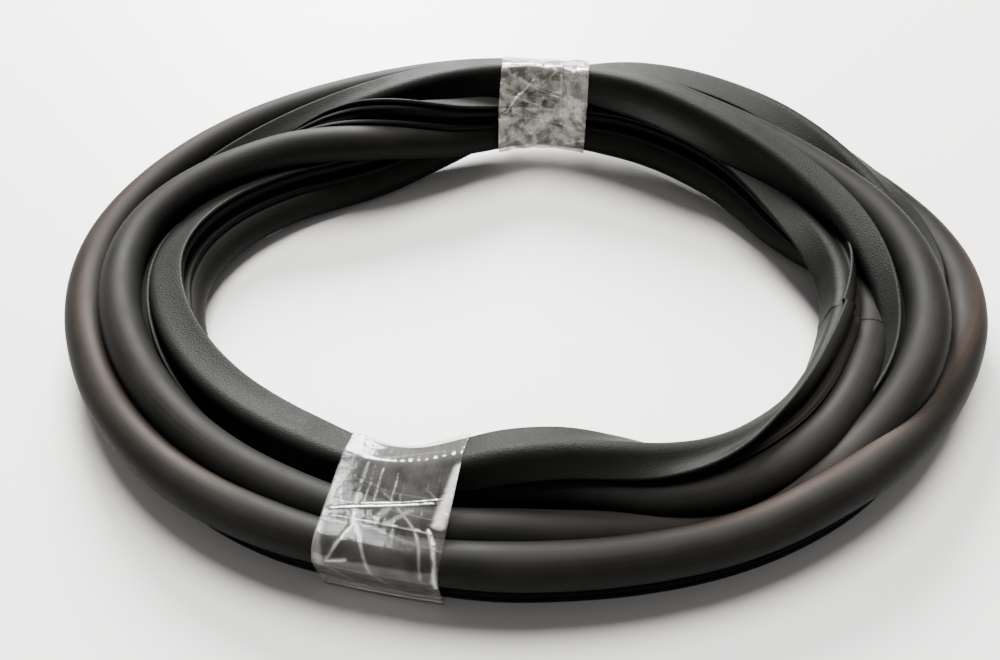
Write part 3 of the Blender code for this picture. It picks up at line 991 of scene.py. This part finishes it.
@dataclass
class TapeBand:
    """One band of clear packing tape, pulled round the bundle and crinkled."""

    name: str
    node: str
    degrees: float
    coil: Coil
    skirt: bool
    wrinkle: float
    creases: tuple[Creases, ...]
    folds: tuple[Fold, ...]
    film: FilmFinish
    width: float = 48.0 * MM
    thickness: float = 0.12 * MM
    slack: float = 0.45 * MM
    around: int = 360
    across: int = 80
    girth_radius: float = 36.0 * MM
    # How far in from the bundle's inner and outer side the skirt meets the table.
    inner_tuck: float = 9.0 * MM
    outer_tuck: float = 5.0 * MM
    # How far from a cut the seal's points still hold the film up, and how deep the bundle can be.
    cut_reach: float = 4.0 * MM
    bundle_depth: float = 90.0 * MM
    smoothings: int = 3
    # Half the width of a crease's white line, which is partly painted highlight, and how often creases waver
    # in a metre.
    crease_line: float = 0.45 * MM
    waver: float = 30.0
    seed: float = 0.0

    def hull(self, cloud: np.ndarray, offset: float, directions: np.ndarray,
             middle: np.ndarray) -> np.ndarray:
        """Return how far the film lies from the bundle's middle in each direction.

        Args:
            cloud: The seal's points as travel, outward offset and height.
            offset: Where across the band the cut is.
            directions: Unit vectors in the plane of the cut.
            middle: The bundle's middle in that plane.

        Returns:
            One distance for each direction.
        """
        flat = cloud[np.abs(cloud[:, 0] - offset) < self.cut_reach][:, 1:]
        if self.skirt:
            low, high = flat[:, 0].min(), flat[:, 0].max()
            flat = np.concatenate((flat, ((low + self.inner_tuck, 0.0), (high - self.outer_tuck, 0.0))))
        corners = [Vector(point) for point in flat]
        rim = [corners[i] for i in geometry.convex_hull_2d(corners)]
        ring = np.array([(point.x, point.y) for point in rim]) - middle
        following = np.roll(ring, -1, axis=0)
        edge = following - ring
        normal = np.stack((edge[:, 1], -edge[:, 0]), axis=1)
        normal /= np.maximum(np.linalg.norm(normal, axis=1), 1e-9)[:, None]
        level = (normal * ring).sum(axis=1)
        normal[level < 0] *= -1
        level = np.abs(level)
        facing = directions @ normal.T
        distance = np.where(facing > 1e-6, level[None, :] / np.maximum(facing, 1e-6), np.inf)
        return distance.min(axis=1) + self.slack

    def folded(self, angle: float, across: float) -> tuple[float, float]:
        """Return the lift of the film's folds, and how white they make it, painted highlights included.

        Args:
            angle: The place round the bundle, in radians.
            across: The place across the band, in metres.

        Returns:
            The lift in metres, and the whiteness, partly painted highlight, from 0 to 1.
        """
        lift, sharp = 0.0, 0.0
        round_mm = self.girth_radius / MM
        turned = math.degrees(angle + math.pi) % 360 - 180
        spot = np.array((across / MM, math.radians(turned) * round_mm))
        wander = 0.5 * noise.noise(Vector((spot[0] * 0.25, spot[1] * 0.25, self.seed)))
        for fold in self.folds:
            start, end = (np.array((place[0], math.radians(place[1]) * round_mm))
                          for place in (fold.start, fold.end))
            line = end - start
            share = min(1.0, max(0.0, float((spot - start) @ line / (line @ line))))
            away = (float(np.linalg.norm(spot - start - line * share)) + wander) / fold.width
            # A doubled stretch over 1 mm wide is flat with firm edges, a fold is a soft line.
            near = math.exp(-away**4) if fold.width > 1 else math.exp(-away**2)
            sharp = max(sharp, fold.strength * near)
            lift += fold.lift * MM * math.exp(-abs(away))
        return lift, sharp

    def creased(self, angle: float, across: float) -> tuple[float, float]:
        """Return the lift of the film's creases, and how white they make it, painted highlights included.

        Args:
            angle: The place round the bundle, in radians.
            across: The place across the band, in metres.

        Returns:
            The lift in metres, and the whiteness, partly painted highlight, from 0 to 1.
        """
        lift, sharp = 0.0, 0.0
        along = angle * self.girth_radius
        for index, creases in enumerate(self.creases):
            heading = math.radians(creases.heading)
            spot = Vector((along * self.waver, across * self.waver, self.seed + index))
            drift = noise.noise(spot) * 0.45 + index * 0.37
            phase = (along * math.cos(heading) + across * math.sin(heading)) / creases.spacing + drift
            saw = abs(phase % 1.0 - 0.5) * 2
            patch = noise.noise(spot * 0.7 + Vector((5.0, 2.0, 1.0)))
            strength = creases.share * max(0.0, 0.5 + 1.2 * patch)
            lift += self.wrinkle * strength * saw
            near = (1 - saw) * creases.spacing / 2
            sharp = max(sharp, min(1.0, strength * 1.2) * math.exp(-(near / self.crease_line) ** 2))
        return lift, sharp

    def build(self, cloud: np.ndarray) -> bpy.types.Object:
        """Return the band, dressed.

        Args:
            cloud: The seal's points in space.

        Returns:
            The band's object.
        """
        centre, normal = self.coil.frame_at(math.radians(self.degrees))
        travel = np.array((-normal[1], normal[0]))
        away = cloud[:, :2] - centre
        local = np.stack((away @ travel, away @ normal, cloud[:, 2]), axis=1)
        local = local[(np.abs(local[:, 0]) < self.width) & (local[:, 1] > -self.bundle_depth)]
        inside = local[np.abs(local[:, 0]) < self.width / 2][:, 1:]
        middle = (inside.min(axis=0) + inside.max(axis=0)) / 2
        angles = np.linspace(0, 2 * math.pi, self.around, endpoint=False)
        directions = np.stack((np.cos(angles), np.sin(angles)), axis=1)
        offsets = np.linspace(-self.width / 2, self.width / 2, self.across)
        reaches = np.array([self.hull(local, offset, directions, middle) for offset in offsets])
        for _ in range(self.smoothings):
            reaches[1:-1] = (reaches[:-2] + 2 * reaches[1:-1] + reaches[2:]) / 4
        rings, whites = [], []
        for offset, row in zip(offsets, reaches):
            ring, white = [], []
            for angle, direction, reach in zip(angles, directions, row):
                fold_lift, fold_white_and_glint = self.folded(angle, offset)
                crease_lift, crease_white_and_glint = self.creased(angle, offset)
                flat = middle + direction * (reach + fold_lift + crease_lift)
                spot = centre + travel * offset + normal * flat[0]
                ring.append((spot[0], spot[1], max(flat[1], self.thickness)))
                white.append(max(fold_white_and_glint, crease_white_and_glint))
            rings.append(np.array(ring))
            whites.append(white)
        bm, ring_layer, spot_layer = sweep(rings, closed=False)
        # Each vertex keeps its whiteness, partly painted highlight, for the film's shader.
        white_and_glint_mark = bm.verts.layers.float.new("white_and_glint_mark")
        for vertex in bm.verts:
            vertex[white_and_glint_mark] = whites[vertex[ring_layer]][vertex[spot_layer]]
        bmesh.ops.recalc_face_normals(bm, faces=list(bm.faces))
        piece = finish_piece(self.name, bm, [self.film.make()], 80.0)
        wall = piece.modifiers.new("film", "SOLIDIFY")
        wall.thickness = self.thickness
        wall.offset = 0.0
        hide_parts(self.node)
        return piece


# Studio

@dataclass(frozen=True)
class Lamp:
    """A soft round lamp that shines at the middle of the coil, in metres and watts."""

    name: str
    place: tuple[float, float, float]
    size: float
    power: float

    def build(self) -> None:
        """Add the lamp to the scene."""
        light = bpy.data.lights.new(self.name, "AREA")
        light.shape = "DISK"
        light.size = self.size
        light.energy = self.power
        holder = bpy.data.objects.new(self.name, light)
        holder.location = self.place
        holder.rotation_euler = (-Vector(self.place)).to_track_quat("-Z", "Y").to_euler()
        bpy.context.scene.collection.objects.link(holder)


@dataclass(frozen=True)
class Studio:
    """The pale floor, the soft light and the camera."""

    # The camera's place from the coil's middle, how far it looks down, its lens and its sensor.
    eye: tuple[float, float, float] = (-6.0 * MM, -360.0 * MM, 345.0 * MM)
    pitch: float = 45.0
    lens: float = 36.0
    sensor: float = 36.0
    nearest: float = 10.0 * MM
    floor: float = 6.0
    floor_colour: str = "edeae6"
    floor_roughness: float = 0.5
    sky_colour: str = "f4f4f6"
    sky_strength: float = 0.28
    lamps: tuple[Lamp, ...] = (
        Lamp("window", (-0.35, 2.1, 1.3), 1.2, 350.0),
        Lamp("ceiling", (0.1, 0.75, 2.2), 1.4, 125.0),
    )

    def build(self, coil: Coil) -> None:
        """Set up the floor, the lights and the camera.

        Args:
            coil: The coil, whose middle the camera's place is counted from.
        """
        self._floor()
        for lamp in self.lamps:
            lamp.build()
        world = bpy.data.worlds.new("studio")
        world.use_nodes = True
        sky = world.node_tree.nodes["Background"]
        sky.inputs["Color"].default_value = linear(self.sky_colour)
        sky.inputs["Strength"].default_value = self.sky_strength
        bpy.context.scene.world = world
        camera = bpy.data.cameras.new("camera")
        camera.sensor_width = self.sensor
        camera.lens = self.lens
        camera.clip_start = self.nearest
        viewer = bpy.data.objects.new("camera", camera)
        viewer.location = (self.eye[0] + coil.centre[0], self.eye[1] + coil.centre[1], self.eye[2])
        viewer.rotation_euler = (math.radians(90 - self.pitch), 0.0, 0.0)
        bpy.context.scene.collection.objects.link(viewer)
        bpy.context.scene.camera = viewer

    def _floor(self) -> None:
        """Add the floor, a pale table top."""
        bm = bmesh.new()
        bmesh.ops.create_grid(bm, x_segments=1, y_segments=1, size=self.floor / 2)
        mesh = bpy.data.meshes.new("floor")
        bm.to_mesh(mesh)
        bm.free()
        # Laminate, satin: pale enough to show the coil's soft shadow.
        material, shader = new_material("pale_laminate")
        shader.inputs["Base Color"].default_value = linear(self.floor_colour)
        shader.inputs["Roughness"].default_value = self.floor_roughness
        mesh.materials.append(material)
        ground = bpy.data.objects.new("floor", mesh)
        bpy.context.scene.collection.objects.link(ground)


def back_band(coil: Coil) -> TapeBand:
    """Return the band at the back, which is crumpled and hazy all over."""
    creases = (Creases(24, 15 * MM, 0.55), Creases(-41, 12 * MM, 0.5), Creases(78, 17 * MM, 0.5))
    folds = (
        Fold((-17, 100), (-16, 205), 7.0, 0.3),
        Fold((-9, 95), (-10, 200), 0.8, 0.6, 0.6),
        Fold((6, 120), (20, 165), 0.6, 0.6, 0.7),
        Fold((-22, 150), (4, 128), 0.6, 0.5, 0.5),
    )
    # Crumpled film: its haze hides most of the rubber below and takes a broken shine.
    film = FilmFinish("crumpled_packing_tape", 0.08, 0.66, 0.3, 0.9, 170.0, "a09a90")
    return TapeBand("back_tape", "tape_band_back", coil.back_tape, coil, False, 1.3 * MM,
                    creases, folds, film, seed=3.7)


def front_band(coil: Coil) -> TapeBand:
    """Return the band at the front, which is clear, with a few sharp folds and a skirt."""
    creases = (Creases(68, 17 * MM, 0.35), Creases(12, 23 * MM, 0.3))
    folds = (
        Fold((-22, 125), (-22, 42), 3.0, 0.22),
        Fold((-21, 48), (16, 76), 0.7, 1.0, 0.5),
        Fold((-10, 62), (20, 84), 0.45, 0.8, 0.3),
        Fold((24, 118), (20.5, 48), 2.6, 0.9, 0.6),
        Fold((-20, 40), (18, 39), 0.5, 0.5, 0.2),
        Fold((-12, 48), (-12, 36), 0.6, 0.8, 0.3),
        Fold((-11, 36), (-18, 10), 0.6, 0.6, 0.4),
        Fold((-18, 8), (-11, 12), 0.8, 0.7, 0.3),
        Fold((17, 42), (22, 20), 0.6, 0.7, 0.4),
        Fold((22, 20), (23, -4), 0.8, 0.8, 0.4),
        Fold((2, 70), (-3, 44), 1.5, 0.3),
        Fold((9, 62), (2, 42), 1.2, 0.26),
        Fold((-12, 80), (-12, 52), 1.2, 0.22),
        Fold((-24, 32), (-21, 4), 1.8, 0.3),
        # The last two lines are the skirt's free edges, white as painted highlights along them.
        Fold((-20, -30), (24, -28), 0.5, 0.7),
        Fold((-22, -36), (24, -36), 0.6, 1.0),
    )
    # Clear film: the rubber shows through, and only folds and doubled stretches turn white, partly as
    # painted highlights.
    film = FilmFinish("clear_packing_tape", 0.03, 0.1, 0.55, 0.3, 95.0, "7d7b76")
    return TapeBand("front_tape", "tape_band_front", coil.front_tape, coil, True, 0.3 * MM,
                    creases, folds, film, seed=8.1)


def main() -> None:
    """Build the seal, the tape and the studio, and report each piece."""
    logging.basicConfig(level=logging.INFO, format="%(message)s")
    coil = Coil()
    Studio().build(coil)
    seal = Seal(coil, Section(Profile())).build()
    LOG.info("%s: %d faces", seal.name, len(seal.data.polygons))
    cloud = np.array([vertex.co for vertex in seal.data.vertices])
    for band in (back_band(coil), front_band(coil)):
        film = band.build(cloud)
        LOG.info("%s: %d faces", film.name, len(film.data.polygons))


if __name__ == "__main__":
    main()
